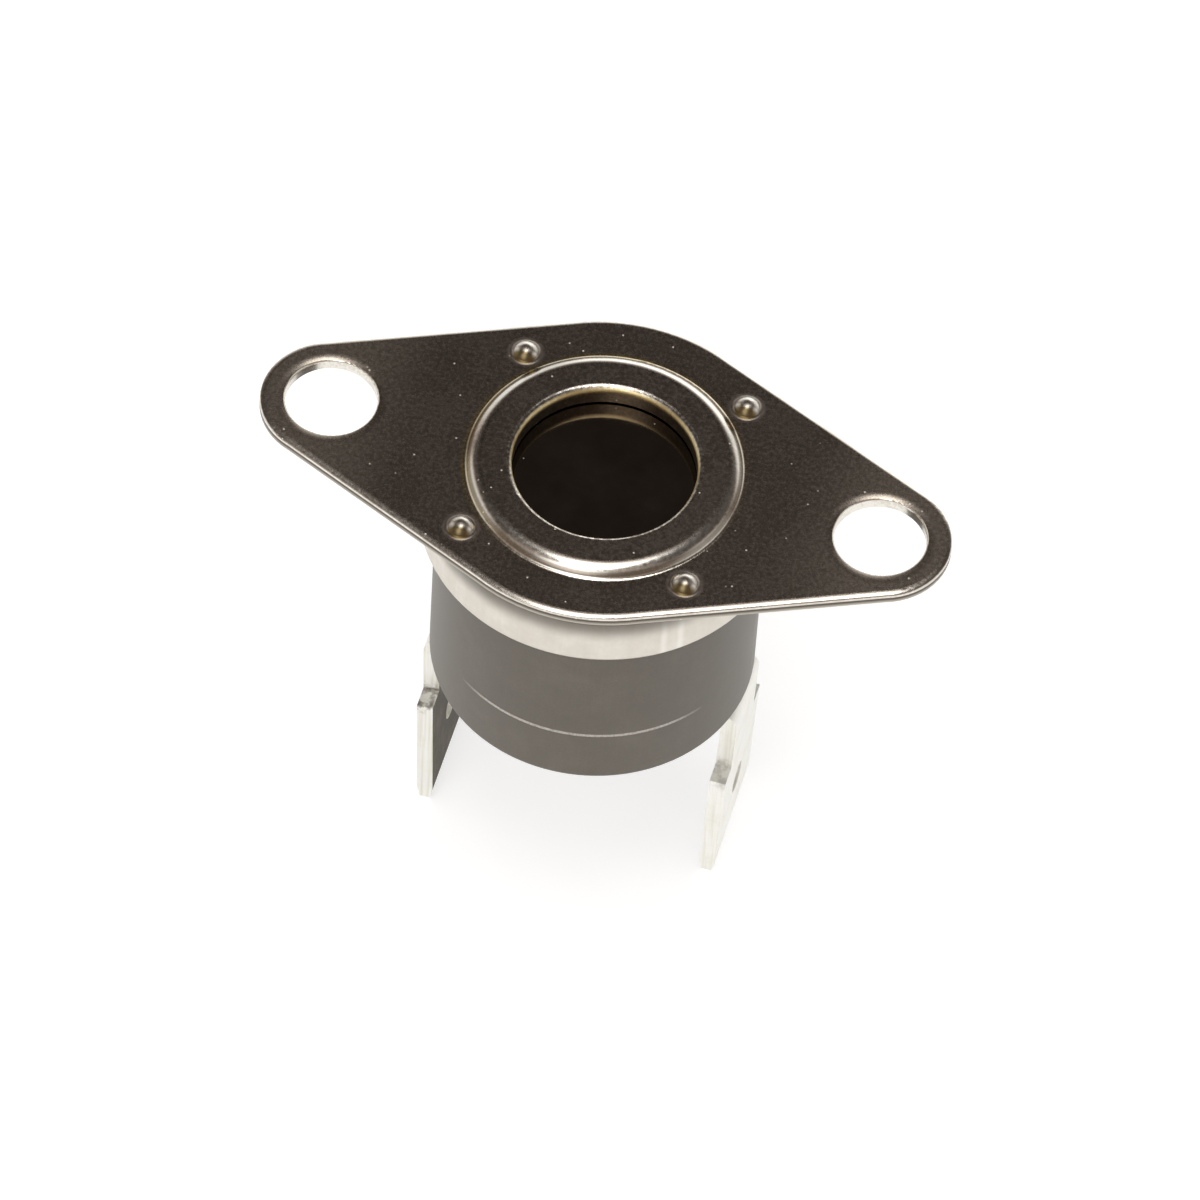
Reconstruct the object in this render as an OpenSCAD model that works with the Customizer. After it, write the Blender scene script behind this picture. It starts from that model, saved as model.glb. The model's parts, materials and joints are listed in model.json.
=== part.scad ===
// Snap-disc thermostat with a two-hole mounting flange and two push-on tabs
// Origin: centre of the flange's upper, sensing face; +Z away from the body
// +X runs towards the right screw hole; all sizes in millimetres

/* [Flange] */
// Distance between the two screw holes
hole_spacing = 27; // [25:0.5:34]
// Diameter of each screw hole
hole_d = 4.4; // [3.4:0.1:5]
// Metal round each screw hole
ear_margin = 1.2; // [1:0.1:2]
// Thickness of the flange sheet
flange_t = 0.55; // [0.5:0.05:0.9]
// Reach of the flange past the cup
flange_overhang = 0.1; // [0.05:0.05:1]
// Width of the soft roll-over that the punch leaves along the upper edge
roll_w = 0.3; // [0.25:0.05:0.6]
// Rounding where the roll-over turns down into the edge
edge_r = 0.1; // [0.1:0.05:0.2]
// Rounding of the screw holes' upper edge
hole_edge_r = 0.1; // [0.1:0.05:0.3]

/* [Raised face] */
// Height of the raised face above the flange
face_rise = 0.45; // [0.3:0.05:0.6]
// Diameter of the opening over the disc
opening_d = 8.8; // [7:0.1:9.5]
// Rounding of the opening's upper edge
lip_r = 0.3; // [0.1:0.05:0.4]
// Inside bend radius at the raised face's shoulder
shoulder_bend = 0.4; // [0.05:0.05:0.45]
// Bend radius at the raised face's foot
foot_bend = 0.25; // [0.15:0.05:0.4]
// Depth of the opening's turned-down wall, from the raised face's top
mouth_depth = 1.1; // [0.9:0.05:1.3]
// Thickness of the turned-down wall
mouth_wall = 0.5; // [0.35:0.05:0.6]

/* [Clinch pips] */
// Number of pips that hold the flange to the cup
pip_count = 4; // [2:1:6]
// Diameter of a pip at the flange's surface
pip_d = 1.6; // [1.3:0.1:1.6]
// Height of a pip above the flange
pip_h = 0.44; // [0.3:0.02:0.46]
// Bend radius at a pip's foot
pip_bend = 0.25; // [0.1:0.05:0.3]

/* [Disc] */
// Diameter of the bimetal disc
disc_d = 12.7; // [12.5:0.1:19]
// Thickness of the bimetal disc
disc_t = 0.2; // [0.15:0.01:0.25]
// Dish of the disc, from edge to centre
disc_dish = 0.28; // [0.2:0.01:0.35]
// Free height between the disc and the opening's turned-down wall
disc_play = 0.1; // [0.05:0.01:0.2]

/* [Cup] */
// Wall of the cup
cup_wall = 0.5; // [0.3:0.05:0.6]
// Height of the cup from brim to rolled edge
cup_h = 3.15; // [2.5:0.05:4]
// Outside rounding of the cup's corners
cup_corner_r = 0.4; // [0.2:0.05:0.5]

/* [Case] */
// Height of the moulded case
case_h = 13.25; // [12:0.05:18]
// Wall of the case round the pin guide
case_wall = 0.9; // [0.8:0.1:2]
// Step of the collar that the cup is rolled under
collar_step = 0.3; // [0.2:0.05:0.5]
// Depth of the switch chamber below the pin guide
chamber_depth = 5.7; // [5.6:0.1:7]
// Height of the pedestal under the contact arm
pedestal_h = 1.2; // [1.1:0.1:1.5]
// Rounding of the case's lower edge
case_edge_r = 0.3; // [0.1:0.1:0.6]

/* [Pin and guide] */
// Diameter of the transfer pin
pin_d = 1.8; // [1.4:0.1:2]
// Thickness of the pin guide's plate
guide_t = 1.7; // [1.4:0.1:2.2]
// Height of the guide's seat under the disc
seat_h = 0.25; // [0.15:0.05:0.4]
// Length of the hub that lengthens the pin's bore
hub_h = 1.2; // [0.5:0.1:1.4]
// Free play between the pin and the cold disc
pin_play = 0.06; // [0.02:0.01:0.15]

/* [Contacts] */
// Thickness of the contact arm's blade
arm_t = 0.2; // [0.15:0.01:0.3]
// Width of the contact arm's blade
arm_w = 1.8; // [1.6:0.1:2.2]
// Diameter of the contact buttons
contact_d = 1.6; // [1.4:0.1:1.8]
// Height of the moving contact
moving_h = 0.45; // [0.35:0.05:0.6]
// Height of the fixed contact
fixed_h = 0.35; // [0.3:0.05:0.5]
// Thickness of the contact bracket
bracket_t = 0.5; // [0.4:0.05:0.6]
// Thickness of the arm's clamp plate
clamp_t = 0.4; // [0.3:0.05:0.6]

/* [Terminals] */
// Width of the push-on tab
tab_w = 6.3; // [4.8:0.1:7.6]
// Thickness of the terminal strip
tab_t = 0.8; // [0.5:0.1:1]
// Length of the push-on tab
tab_l = 7.8; // [7:0.1:9]
// Width of the neck above the tab
neck_w = 4.1; // [3.4:0.1:4.4]
// Length of the straight neck below the bend
neck_l = 3.1; // [1:0.1:5]
// Distance from the case's side to the tab's middle plane
tab_inset = 0.4; // [0.3:0.1:1.5]
// Inward lean of the tab, in degrees
tab_lean = 1.5; // [0:0.5:4]
// Diameter of the latching hole in the tab
tab_hole_d = 1.65; // [1.2:0.05:1.8]

/* [Rivets] */
// Diameter of the rivets' shanks
rivet_d = 1.8; // [1.4:0.1:2]
// Diameter of the rivets' outer heads
rivet_head_d = 3; // [2.6:0.1:3.6]
// Diameter of the rivets' inner heads
rivet_inner_d = 2.2; // [2:0.05:2.2]

/* [Hidden] */
$fn = 96;
eps = 0.01;
cross = 0.001;
set_in = 0.01;
// Clearances
fit_gap = 0.05;
bore_gap = 0.05;
air_gap = 0.35;
// Radii that follow the disc
disc_r = disc_d / 2;
foot_r = disc_r + 0.37;
brim_in_r = disc_r + 0.15;
seat_out_r = disc_r + 0.07;
seat_in_r = disc_r - 0.45;
guide_rim_r = disc_r + 0.1;
recess_r = disc_r + 0.65;
chamber_r = recess_r - 0.75;
case_r = recess_r + case_wall;
collar_r = case_r + collar_step;
cup_in_r = collar_r + fit_gap;
cup_r = cup_in_r + cup_wall;
flange_r = cup_r + flange_overhang;
ear_r = hole_d / 2 + ear_margin;
pin_r = pin_d / 2;
bore_r = pin_r + bore_gap;
// Raised face: two bends between the top and the flange, which cross by a hair
shoulder_r = shoulder_bend + flange_t;
shoulder_z = face_rise - shoulder_r + cross;
foot_z = foot_bend - cross;
bends = shoulder_r + foot_bend - cross;
bend_run = sqrt(bends * bends - pow(foot_z - shoulder_z, 2));
shoulder_x = foot_r - bend_run;
bend_lap = 0.3;
under_r = foot_bend + flange_t;
// Wall of the opening, and how far the disc has risen from its edge below it
mouth_r = opening_d / 2;
mouth_low_z = face_rise - mouth_depth;
disc_rise = disc_dish * (1 - pow(mouth_r / disc_r, 2));
// Heights from the flange's upper face downwards
brim_z = -flange_t;
rim_z = brim_z - cup_wall;
cup_low_z = brim_z - cup_h;
collar_low_z = cup_low_z + cup_wall + fit_gap;
disc_z = mouth_low_z - disc_play - disc_rise - disc_t;
guide_top_z = min(rim_z, disc_z - seat_h);
guide_low_z = guide_top_z - guide_t;
floor_z = guide_low_z - chamber_depth;
case_low_z = rim_z - case_h;
arm_z = floor_z + pedestal_h;
arm_top_z = arm_z + arm_t;
touch_z = arm_top_z + moving_h;
bracket_z = touch_z + fixed_h;
pin_top_z = disc_z + disc_dish - pin_play;
// Roll-over: a flat arc that starts level and a tight one that ends upright;
// the tight one stands out by a hair, so that the two cross where they meet
roll_turn = 25;
roll_r = (roll_w - edge_r * (1 - sin(roll_turn))) / sin(roll_turn);
roll_hair = 0.001;
turn_reach = roll_r - edge_r + roll_hair;
edge_lap = roll_w + 0.2;
// Places across the case
foot_end_r = 1.25;
rivet_x = chamber_r - foot_end_r - fit_gap;
clamp_reach = 1.4;
bend_x = rivet_x - clamp_reach;
contact_r = contact_d / 2;
contact_x = -(pin_r + air_gap + contact_r);
arm_tip_r = arm_w / 2;
riser_x = contact_x - arm_tip_r - 0.2;
bracket_bend = 0.2;
stake_d = 0.8;
stake_head_d = 1.2;
stake_h = 0.2;
rivet_hole_d = rivet_d + 2 * fit_gap;
// Pips
pip_pitch_r = (foot_r + cup_r) / 2;
pip_skin = 0.46;
pip_core_h = flange_t + pip_h - pip_skin - fit_gap;
pip_core_d = 2 * pip_core_h;
// Terminals
terminal_bend = 0.2;
terminal_x = case_r - tab_inset + tab_t / 2;
terminal_out_r = terminal_bend + tab_t;
turn_x = terminal_x - terminal_out_r;
turn_z = case_low_z - terminal_out_r;
blade_l = neck_l + tab_l;
tab_chamfer = 0.3;
lead_in_l = 1;
lead_in_t = 0.2;
tab_hole_from_tip = 4.2;

// Part of a ring between two angles, in the drawing plane
module arc_band(r_in, r_out, from, to) {
    reach = 2 * r_out;
    mid = (from + to) / 2;
    intersection() {
        difference() {
            circle(r_out);
            circle(r_in);
        }
        polygon([
            [0, 0],
            [reach * cos(from), reach * sin(from)],
            [reach * cos(mid), reach * sin(mid)],
            [reach * cos(to), reach * sin(to)]
        ]);
    }
}

// What a convex rounding of radius r takes off a square corner at the origin;
// sx and sy give the side on which the material lies
module corner_waste(r, sx, sy) {
    scale([sx, sy])
        difference() {
            translate([-eps, -eps])
                square(r + eps);
            translate([r - cross, r - cross])
                circle(r);
        }
}

// Low round dome on the XY plane, d wide and h high
module dome(d, h) {
    r = (d * d / 4 + h * h) / (2 * h);
    rotate_extrude()
        intersection() {
            translate([0, h - r])
                circle(r);
            square([d, h + 1]);
        }
}

// Round pip with a soft foot on the XY plane: a convex and a concave arc that
// cross by a hair, the concave one dipping as little below the plane
module pip(r, h, bend) {
    ball_r = (r * r + h * h) / (2 * h) - bend;
    rotate_extrude()
        difference() {
            union() {
                intersection() {
                    translate([0, h - ball_r])
                        circle(ball_r);
                    translate([0, -eps])
                        square([r, h + 1]);
                }
                intersection() {
                    polygon([[0, h - ball_r], [r, bend], [r, h - ball_r]]);
                    translate([0, -eps])
                        square([r, h + 1]);
                }
            }
            translate([r, bend - cross])
                circle(bend);
        }
}

// Section of the flange sheet at its edge, reaching inwards from x = 0
module edge_section() {
    turn_x = turn_reach * sin(roll_turn) - roll_w;
    turn_z = turn_reach * cos(roll_turn) - roll_r;
    side_x = turn_x + edge_r;
    meet_x = roll_r * sin(roll_turn) - roll_w;
    translate([-edge_lap, -flange_t])
        square([edge_lap - roll_w, flange_t]);
    intersection() {
        translate([-roll_w, -roll_r])
            circle(roll_r);
        translate([-roll_w - 0.1, -flange_t])
            square([meet_x + roll_w + 0.1, flange_t]);
    }
    translate([turn_x, turn_z])
        circle(edge_r);
    translate([-edge_lap, -flange_t])
        square([edge_lap + side_x, flange_t + turn_z]);
}

// Round part of the flange edge with radius r
module edge_round(r) {
    rotate_extrude()
        translate([r, 0])
            edge_section();
}

// Straight part of the flange edge, set in by a hair so that it crosses the
// round parts at their tangent points instead of just touching them
module edge_straight() {
    half = hole_spacing / 2;
    lean = acos((flange_r - ear_r) / half);
    run = half * sin(lean);
    rotate([0, 0, lean])
        translate([flange_r - set_in, 0, 0])
            rotate([90, 0, 0])
                linear_extrude(run)
                    edge_section();
}

// Flat middle of the flange, inside the rounded edge
module flange_core() {
    half = hole_spacing / 2;
    lean = acos((flange_r - ear_r) / half);
    mid_r = flange_r - roll_w - 0.05;
    end_r = ear_r - roll_w - 0.05;
    translate([0, 0, -flange_t])
        linear_extrude(flange_t) {
            circle(mid_r);
            for (s = [-1, 1]) {
                translate([s * half, 0])
                    circle(end_r);
                polygon([
                    [s * mid_r * cos(lean), mid_r * sin(lean)],
                    [s * (half + end_r * cos(lean)), end_r * sin(lean)],
                    [s * (half + end_r * cos(lean)), -end_r * sin(lean)],
                    [s * mid_r * cos(lean), -mid_r * sin(lean)]
                ]);
            }
        }
}

// Section of the raised face: turned-down wall with its rounded lip, flat top,
// shoulder bend and foot bend
module face_section() {
    shoulder = [shoulder_x, shoulder_z];
    foot = [foot_r, foot_z];
    difference() {
        union() {
            translate([mouth_r, -flange_t])
                square([shoulder_x - mouth_r, face_rise + flange_t]);
            translate([mouth_r, mouth_low_z])
                square([mouth_wall, mouth_depth]);
            intersection() {
                translate(shoulder)
                    circle(shoulder_r);
                polygon([
                    shoulder,
                    [shoulder_x - bend_lap, 0],
                    [shoulder_x - bend_lap, face_rise + 1],
                    [foot_r, face_rise + 1],
                    foot
                ]);
            }
            polygon([[shoulder_x, -flange_t], shoulder, foot, [foot_r, -flange_t]]);
            translate([foot_r, -flange_t])
                square([0.3, flange_t]);
        }
        // Above the foot bend
        translate(foot)
            circle(foot_bend);
        // Below the sheet
        translate([mouth_r + mouth_wall, -flange_t - 1])
            square([shoulder_x - mouth_r - mouth_wall, face_rise + 1]);
        translate(shoulder)
            circle(shoulder_bend);
        difference() {
            polygon([[shoulder_x, -flange_t - 1], shoulder, foot, [foot_r, -flange_t - 1]]);
            translate(foot)
                circle(under_r);
        }
        translate([mouth_r, face_rise])
            corner_waste(lip_r, 1, -1);
    }
}

// What a punched screw hole takes out, with its rounded upper edge
module screw_hole() {
    translate([0, 0, -flange_t - 1])
        cylinder(h = flange_t + 2, d = hole_d);
    rotate_extrude()
        translate([hole_d / 2, 0])
            corner_waste(hole_edge_r, 1, -1);
}

module mounting_flange() {
    color([0.27, 0.25, 0.23])
        difference() {
            union() {
                difference() {
                    union() {
                        flange_core();
                        edge_round(flange_r);
                        for (s = [-1, 1])
                            translate([s * hole_spacing / 2, 0, 0])
                                edge_round(ear_r);
                        edge_straight();
                        mirror([1, 0, 0])
                            edge_straight();
                        mirror([0, 1, 0]) {
                            edge_straight();
                            mirror([1, 0, 0])
                                edge_straight();
                        }
                    }
                    translate([0, 0, -flange_t - 1])
                        cylinder(h = flange_t + 2, r = foot_r + 0.15);
                }
                rotate_extrude()
                    face_section();
                for (i = [0 : pip_count - 1])
                    rotate([0, 0, 45 + i * 360 / pip_count])
                        translate([pip_pitch_r, 0, 0])
                            pip(pip_d / 2, pip_h, pip_bend);
            }
            for (s = [-1, 1])
                translate([s * hole_spacing / 2, 0, 0])
                    screw_hole();
            for (i = [0 : pip_count - 1])
                rotate([0, 0, 45 + i * 360 / pip_count])
                    translate([pip_pitch_r, 0, brim_z - eps])
                        dome(pip_core_d + 2 * fit_gap, pip_core_h + fit_gap + eps);
        }
}

// Section of the cup: brim, skirt and rolled edge
module cup_section() {
    difference() {
        union() {
            translate([brim_in_r, brim_z - cup_wall])
                square([cup_r - brim_in_r, cup_wall]);
            translate([cup_in_r, cup_low_z])
                square([cup_wall, cup_h]);
            translate([case_r + fit_gap, cup_low_z])
                square([cup_r - case_r - fit_gap, cup_wall]);
        }
        translate([cup_r, brim_z])
            corner_waste(cup_corner_r, -1, -1);
        translate([cup_r, cup_low_z])
            corner_waste(cup_corner_r, -1, 1);
    }
}

module crimp_cup() {
    color([0.84, 0.83, 0.80]) {
        rotate_extrude()
            cup_section();
        for (i = [0 : pip_count - 1])
            rotate([0, 0, 45 + i * 360 / pip_count])
                translate([pip_pitch_r, 0, brim_z - eps])
                    dome(pip_core_d, pip_core_h + eps);
    }
}

// Shallow spherical dish, domed away from the switch while it is cold
module snap_disc() {
    dish_r = (disc_r * disc_r + disc_dish * disc_dish) / (2 * disc_dish);
    color([0.12, 0.09, 0.08])
        rotate_extrude()
            intersection() {
                translate([0, disc_z + disc_dish - dish_r])
                    difference() {
                        circle(dish_r + disc_t, $fn = 1440);
                        circle(dish_r, $fn = 1440);
                    }
                translate([0, disc_z - 1])
                    square([disc_r, 3]);
            }
}

module pin_guide() {
    color([0.38, 0.30, 0.24])
        rotate_extrude() {
            translate([bore_r, guide_low_z])
                square([recess_r - fit_gap - bore_r, guide_t]);
            translate([seat_in_r, guide_top_z - eps])
                square([seat_out_r - seat_in_r, disc_z - guide_top_z + eps]);
            translate([guide_rim_r, guide_top_z - eps])
                square([recess_r - fit_gap - guide_rim_r, rim_z - guide_top_z + eps]);
            translate([bore_r, guide_low_z - hub_h])
                square([1.2, hub_h + eps]);
        }
}

module transfer_pin() {
    tip = 0.2;
    color([0.93, 0.91, 0.86])
        rotate_extrude()
            polygon([
                [0, arm_top_z],
                [pin_r - tip, arm_top_z],
                [pin_r, arm_top_z + tip],
                [pin_r, pin_top_z - tip],
                [pin_r - tip, pin_top_z],
                [0, pin_top_z]
            ]);
}

// Section of the moulded case, before the pedestal and the rivet holes
module case_section() {
    difference() {
        union() {
            translate([0, case_low_z])
                square([case_r, case_h]);
            translate([0, collar_low_z])
                square([collar_r, rim_z - collar_low_z]);
        }
        translate([0, guide_low_z])
            square([recess_r, rim_z - guide_low_z + 1]);
        translate([0, floor_z])
            square([chamber_r, chamber_depth + 1]);
        translate([case_r, case_low_z])
            corner_waste(case_edge_r, -1, 1);
        translate([collar_r, rim_z])
            corner_waste(0.2, -1, -1);
    }
}

// Outline of the arm's root, shared by the pedestal and the clamp plate
module root_outline() {
    translate([rivet_x, 0])
        circle(foot_end_r);
    translate([bend_x, -foot_end_r])
        square([clamp_reach, 2 * foot_end_r]);
}

module switch_case() {
    color([0.42, 0.40, 0.38])
        difference() {
            union() {
                rotate_extrude()
                    case_section();
                translate([0, 0, floor_z - eps])
                    linear_extrude(pedestal_h + eps) {
                        root_outline();
                        translate([rivet_x, -foot_end_r])
                            square([chamber_r - rivet_x + 0.2, 2 * foot_end_r]);
                    }
            }
            for (s = [-1, 1])
                translate([s * rivet_x, 0, case_low_z - 1])
                    cylinder(h = case_h, d = rivet_hole_d);
        }
}

// Side view of the Z-shaped bracket, in X and Z
module bracket_section() {
    foot_top = floor_z + bracket_t;
    riser_out = riser_x - bracket_t;
    turn = bracket_bend;
    translate([-rivet_x, floor_z])
        square([rivet_x + riser_out - turn, bracket_t]);
    translate([riser_out - turn, foot_top + turn])
        arc_band(turn, turn + bracket_t, -90, 0);
    translate([riser_out, foot_top + turn])
        square([bracket_t, bracket_z - foot_top - 2 * turn]);
    translate([riser_x + turn, bracket_z - turn])
        arc_band(turn, turn + bracket_t, 90, 180);
    translate([riser_x + turn, bracket_z])
        square([contact_x + contact_r + 0.1 - riser_x - turn, bracket_t]);
}

module contact_bracket() {
    color([0.80, 0.66, 0.36])
        difference() {
            union() {
                translate([0, foot_end_r, 0])
                    rotate([90, 0, 0])
                        linear_extrude(2 * foot_end_r)
                            bracket_section();
                translate([-rivet_x, 0, floor_z])
                    cylinder(h = bracket_t, r = foot_end_r);
            }
            translate([-rivet_x, 0, floor_z - 1])
                cylinder(h = bracket_t + 2, d = rivet_hole_d);
            translate([contact_x, 0, bracket_z - 0.1])
                cylinder(h = bracket_t + 1, d = stake_d + fit_gap);
        }
}

// Flat contact button under the bracket, staked over on top
module fixed_contact() {
    color([0.86, 0.86, 0.84])
        translate([contact_x, 0, touch_z]) {
            cylinder(h = fixed_h, d = contact_d);
            cylinder(h = fixed_h + bracket_t + stake_h, d = stake_d);
            translate([0, 0, fixed_h + bracket_t])
                cylinder(h = stake_h, d = stake_head_d);
        }
}

// Spring blade from the clamp to the contact
module contact_arm() {
    color([0.78, 0.62, 0.34])
        translate([0, 0, arm_z])
            linear_extrude(arm_t)
                difference() {
                    union() {
                        root_outline();
                        translate([contact_x, -arm_w / 2])
                            square([bend_x - contact_x + 0.2, arm_w]);
                        translate([contact_x, 0])
                            circle(arm_tip_r);
                    }
                    translate([rivet_x, 0])
                        circle(d = rivet_hole_d);
                    translate([contact_x, 0])
                        circle(d = stake_d + fit_gap);
                }
}

// Domed contact button on the blade, staked over underneath
module moving_contact() {
    crown = 0.12;
    color([0.86, 0.86, 0.84])
        translate([contact_x, 0, arm_top_z]) {
            cylinder(h = moving_h - crown, d = contact_d);
            translate([0, 0, moving_h - crown - eps])
                dome(contact_d, crown + eps);
            translate([0, 0, -arm_t - stake_h])
                cylinder(h = arm_t + stake_h + eps, d = stake_d);
            translate([0, 0, -arm_t - stake_h])
                cylinder(h = stake_h, d = stake_head_d);
        }
}

module arm_clamp() {
    color([0.80, 0.66, 0.36])
        translate([0, 0, arm_top_z])
            linear_extrude(clamp_t)
                difference() {
                    root_outline();
                    translate([rivet_x, 0])
                        circle(d = rivet_hole_d);
                }
}

// Rivet from its domed outer head up to a flat inner head on top_z
module rivet(top_z) {
    low_z = case_low_z - tab_t;
    head_h = 0.7;
    inner_h = 0.45;
    color([0.83, 0.80, 0.72]) {
        translate([0, 0, low_z])
            mirror([0, 0, 1])
                dome(rivet_head_d, head_h);
        translate([0, 0, low_z - eps])
            cylinder(h = top_z - low_z + inner_h, d = rivet_d);
        translate([0, 0, top_z])
            cylinder(h = inner_h, d = rivet_inner_d);
    }
}

module rivet_left() {
    translate([-rivet_x, 0, 0])
        rivet(floor_z + bracket_t);
}

module rivet_right() {
    translate([rivet_x, 0, 0])
        rivet(arm_top_z + clamp_t);
}

// Face view of the blade in Y and its own length, hanging from the bend
module blade_outline() {
    difference() {
        union() {
            translate([-neck_w / 2, -blade_l])
                square([neck_w, blade_l]);
            polygon([
                [-tab_w / 2, -neck_l],
                [-tab_w / 2, tab_chamfer - blade_l],
                [tab_chamfer - tab_w / 2, -blade_l],
                [tab_w / 2 - tab_chamfer, -blade_l],
                [tab_w / 2, tab_chamfer - blade_l],
                [tab_w / 2, -neck_l]
            ]);
        }
        translate([0, tab_hole_from_tip - blade_l])
            circle(d = tab_hole_d);
    }
}

// Edge view of the blade: full thickness, thinned at the tip to lead in
module blade_profile() {
    polygon([
        [0, 0],
        [tab_t, 0],
        [tab_t, lead_in_l - blade_l],
        [tab_t - lead_in_t, -blade_l],
        [lead_in_t, -blade_l],
        [0, lead_in_l - blade_l]
    ]);
}

// Terminal for the +X side: riveted leg, bend, neck and push-on tab
module terminal() {
    difference() {
        union() {
            translate([rivet_x, 0, case_low_z - tab_t])
                cylinder(h = tab_t, d = neck_w);
            translate([rivet_x, -neck_w / 2, case_low_z - tab_t])
                cube([turn_x - rivet_x, neck_w, tab_t]);
            translate([turn_x, neck_w / 2, turn_z])
                rotate([90, 0, 0])
                    linear_extrude(neck_w)
                        arc_band(terminal_bend, terminal_out_r, -tab_lean, 90);
            translate([turn_x, 0, turn_z])
                rotate([0, tab_lean, 0])
                    translate([terminal_bend, 0, 0])
                        intersection() {
                            rotate([90, 0, 90])
                                linear_extrude(tab_t)
                                    blade_outline();
                            translate([0, tab_w, 0])
                                rotate([90, 0, 0])
                                    linear_extrude(2 * tab_w)
                                        blade_profile();
                        }
        }
        translate([rivet_x, 0, case_low_z - tab_t - 1])
            cylinder(h = tab_t + 2, d = rivet_hole_d);
    }
}

module terminal_left() {
    color([0.90, 0.90, 0.87])
        mirror([1, 0, 0])
            terminal();
}

module terminal_right() {
    color([0.90, 0.90, 0.87])
        terminal();
}

mounting_flange();
crimp_cup();
snap_disc();
pin_guide();
transfer_pin();
switch_case();
contact_bracket();
fixed_contact();
contact_arm();
moving_contact();
arm_clamp();
rivet_left();
rivet_right();
terminal_left();
terminal_right();
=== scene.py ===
"""A snap-disc thermostat on a two-hole flange, with its snapping disc, its contact blade and a studio."""

import json
import math

import bmesh
import bpy
from mathutils import Matrix, Vector


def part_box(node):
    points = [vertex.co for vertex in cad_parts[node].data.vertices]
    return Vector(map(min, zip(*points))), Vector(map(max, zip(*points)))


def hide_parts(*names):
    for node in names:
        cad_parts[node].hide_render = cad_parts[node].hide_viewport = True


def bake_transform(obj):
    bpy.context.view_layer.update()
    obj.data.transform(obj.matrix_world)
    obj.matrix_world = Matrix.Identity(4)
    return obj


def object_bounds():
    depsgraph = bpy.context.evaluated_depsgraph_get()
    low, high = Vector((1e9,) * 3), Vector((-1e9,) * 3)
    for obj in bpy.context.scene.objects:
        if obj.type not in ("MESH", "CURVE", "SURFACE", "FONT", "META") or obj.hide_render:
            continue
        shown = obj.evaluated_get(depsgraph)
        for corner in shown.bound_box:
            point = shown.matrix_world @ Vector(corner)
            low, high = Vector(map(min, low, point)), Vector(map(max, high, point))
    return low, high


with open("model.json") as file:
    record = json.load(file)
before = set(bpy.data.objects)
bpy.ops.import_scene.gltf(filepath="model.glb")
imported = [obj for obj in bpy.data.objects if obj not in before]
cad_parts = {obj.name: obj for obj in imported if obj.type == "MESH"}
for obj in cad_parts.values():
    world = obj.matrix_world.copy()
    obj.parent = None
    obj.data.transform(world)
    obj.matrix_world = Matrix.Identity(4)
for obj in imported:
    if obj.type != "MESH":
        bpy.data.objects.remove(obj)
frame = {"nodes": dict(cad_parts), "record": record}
cad_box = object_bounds()
nodes = frame["nodes"]


# Switch case
# One thick-walled pot, compression moulded in grey phenolic with a mineral filler, then tumbled to
# take the flash off. A thin white line was printed part of the way round it.
MM = 0.001  # a millimetre in metres: meshes are in metres, and sizes inside finishes in millimetres


def linear(code):
    """An sRGB hex value as a linear colour."""
    parts = [int(code[i:i + 2], 16) / 255 for i in (1, 3, 5)]
    return [c / 12.92 if c <= 0.04045 else ((c + 0.055) / 1.055) ** 2.4 for c in parts] + [1.0]


def add(tree, kind, feeds=None, ramp=None, **settings):
    """A node of that kind; feeds gives each input a number, a colour, or the node or socket before it."""
    node = tree.nodes.new(kind)
    for name, value in settings.items():
        setattr(node, name, value)
    if ramp:
        stops = node.color_ramp.elements
        while len(stops) < len(ramp):
            stops.new(0.5)
        for stop, (place, colour) in zip(stops, ramp):
            stop.position = place
            stop.color = linear(colour) if isinstance(colour, str) else (colour, colour, colour, 1)
    for name, source in (feeds or {}).items():
        if isinstance(source, bpy.types.Node):
            source = next(socket for socket in source.outputs if not socket.is_unavailable)
        if isinstance(source, bpy.types.NodeSocket):
            tree.links.new(source, node.inputs[name])
        else:
            node.inputs[name].default_value = linear(source) if isinstance(source, str) else source
    return node


def new_finish(name):
    """An empty material, its node tree, and the piece's own coordinates in millimetres."""
    finish = bpy.data.materials.new(name)
    finish.use_nodes = True
    tree = finish.node_tree
    tree.nodes.clear()
    place = add(tree, "ShaderNodeTexCoord")
    mm = add(tree, "ShaderNodeVectorMath", {0: place.outputs["Object"], "Scale": 1 / MM}, operation="SCALE")
    return finish, tree, mm


def close(tree, **sockets):
    """Ends the tree in one surface shader with these sockets, each named with its spaces as underscores."""
    shader = add(tree, "ShaderNodeBsdfPrincipled",
                 {name.replace("_", " "): value for name, value in sockets.items()})
    add(tree, "ShaderNodeOutputMaterial", {"Surface": shader})


def give(finish, *names):
    """Puts a finish on CAD nodes, in place of the plain ones they came with."""
    for name in names:
        for place in nodes[name].material_slots:
            place.material = finish


# Phenolic as moulded and tumbled: an even warm grey with a satin skin, faint upright draw marks from
# the mould's wall, and flecks of filler a tenth of a millimetre across. A slim value, here and below,
# is a mark's width over its length.
case_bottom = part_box("switch_case")[0].z / MM
cup_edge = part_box("crimp_cup")[0].z / MM
draw_mark = 0.3
draw_mark_slim = 0.06
filler_fleck = 0.12
cloud_size = 4.0
moulded_relief = 0.003
cup_shade_span = 1.3
cup_shade_strength = 0.4
line_up = 3.5
line_width = 0.15
line_soft = 0.03
line_from = math.radians(-128)
line_to = math.radians(-33)
line_fade = math.radians(14)
phenolic, tree, mm = new_finish("moulded_grey_phenolic")
parts = add(tree, "ShaderNodeSeparateXYZ", {"Vector": mm})
drawn = add(tree, "ShaderNodeVectorMath", {0: mm, 1: (1, 1, draw_mark_slim)}, operation="MULTIPLY")
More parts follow.
